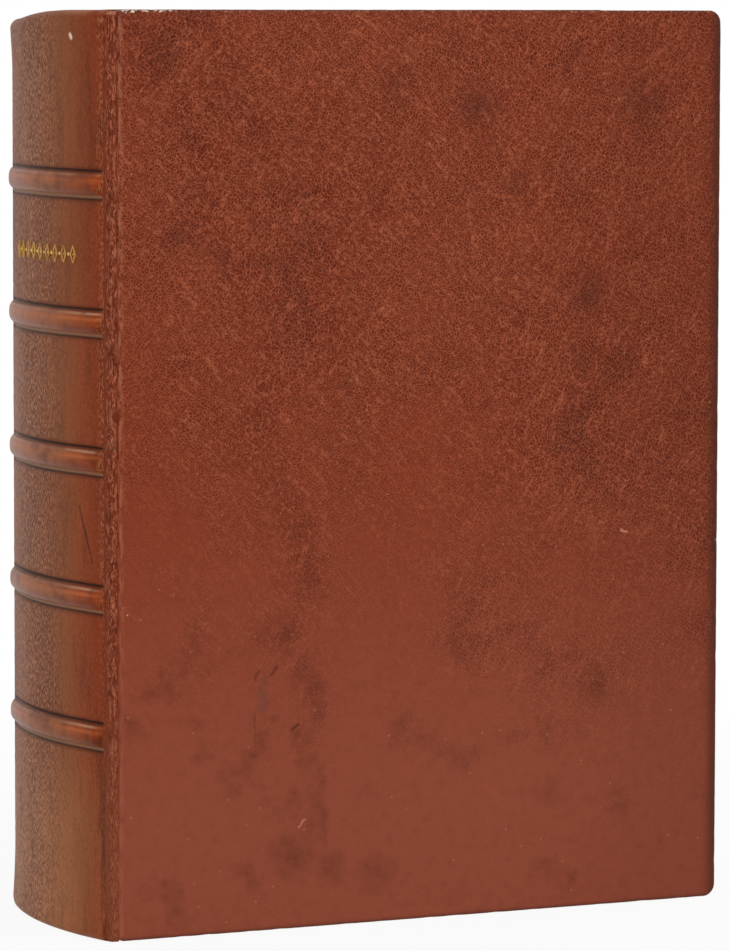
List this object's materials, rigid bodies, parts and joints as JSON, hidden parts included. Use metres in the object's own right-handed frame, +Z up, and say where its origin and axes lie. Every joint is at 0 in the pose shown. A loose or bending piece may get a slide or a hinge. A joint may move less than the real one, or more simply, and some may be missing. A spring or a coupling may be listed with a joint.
{
  "type": "leather-bound book",
  "caption": "Thick antique book in full leather with a rounded spine, raised bands and tight joints; both covers open on their leather joints around a sewn text block.",
  "frame": {"origin": "under the middle of the whole book's box, at the tail edges that it stands on", "axes": "+Z up along the spine to the head, -X towards the spine, +X towards the fore-edge, -Y towards the front cover"},
  "size_m": [0.1782, 0.066, 0.232],
  "materials": {
    "cover_leather": "satin",
    "spine_leather": "satin",
    "pages": "matte",
    "endpaper": "matte",
    "millboard": "matte",
    "cord": "matte",
    "lining": "matte",
    "silk": "satin"
  },
  "bodies": {
    "root": {"text_block": "pages", "spine_lining": "lining", "spine_leather": "spine_leather", "head_endband": "silk", "tail_endband": "silk", "front_flyleaf": "endpaper", "rear_flyleaf": "endpaper", "sewing_cord_1": "cord", "sewing_cord_2": "cord", "sewing_cord_3": "cord", "sewing_cord_4": "cord", "sewing_cord_5": "cord"},
    "front_cover": {"front_board": "millboard", "front_slips": "cord", "front_pastedown": "endpaper", "front_leather": "cover_leather"},
    "rear_cover": {"rear_board": "millboard", "rear_slips": "cord", "rear_pastedown": "endpaper", "rear_leather": "cover_leather"}
  },
  "joints": [
    {"name": "front_cover_hinge", "type": "hinge", "parent": "root", "child": "front_cover", "pos_m": [-0.08158, -0.0319, 0.116], "axis": [0, 0, -1], "range_deg": [0, 170]},
    {"name": "rear_cover_hinge", "type": "hinge", "parent": "root", "child": "rear_cover", "pos_m": [-0.08158, 0.0319, 0.116], "axis": [0, 0, 1], "range_deg": [0, 170]}
  ]
}
